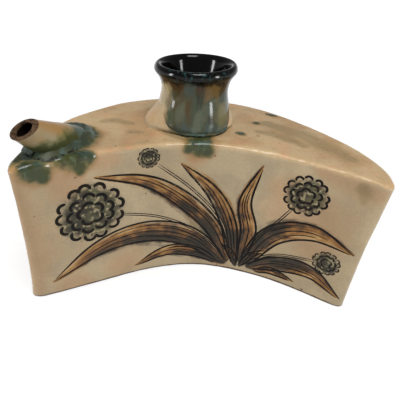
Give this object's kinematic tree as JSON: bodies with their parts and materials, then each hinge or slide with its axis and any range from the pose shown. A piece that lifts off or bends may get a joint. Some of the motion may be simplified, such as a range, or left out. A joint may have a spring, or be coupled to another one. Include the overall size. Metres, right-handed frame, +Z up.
{
  "type": "ceramic hip flask",
  "caption": "Crescent glazed stoneware hip flask: slab-built body with a hollow side for the hip, a thrown open neck and a short leaning pouring spout.",
  "frame": {"origin": "on the table, at the middle of the base slab: half the width, and halfway between front and back there", "axes": "+X along the width, with the spout at -X; +Y from the hollow side to the full side; +Z up"},
  "size_m": [0.2124, 0.1172, 0.1407],
  "materials": {
    "cream_body_glaze": "glossy cream to peach stoneware glaze with iron specks and thin brown edges",
    "dark_neck_glaze": "glossy black-brown glaze breaking to amber, olive and grey-green streaks",
    "spout_glaze": "satin cream glaze with green mottling and a bare brown cut rim",
    "pooled_green_glaze": "glossy blue-green glaze pooled thick, with dark bubbled crevices"
  },
  "bodies": {
    "root": {"base_slab": "cream_body_glaze", "front_wall": "cream_body_glaze", "back_wall": "cream_body_glaze", "left_end_wall": "cream_body_glaze", "right_end_wall": "cream_body_glaze", "top_slab": "cream_body_glaze", "neck": "dark_neck_glaze", "neck_collar": "pooled_green_glaze", "spout": "spout_glaze", "spout_collar": "pooled_green_glaze"}
  },
  "joints": []
}
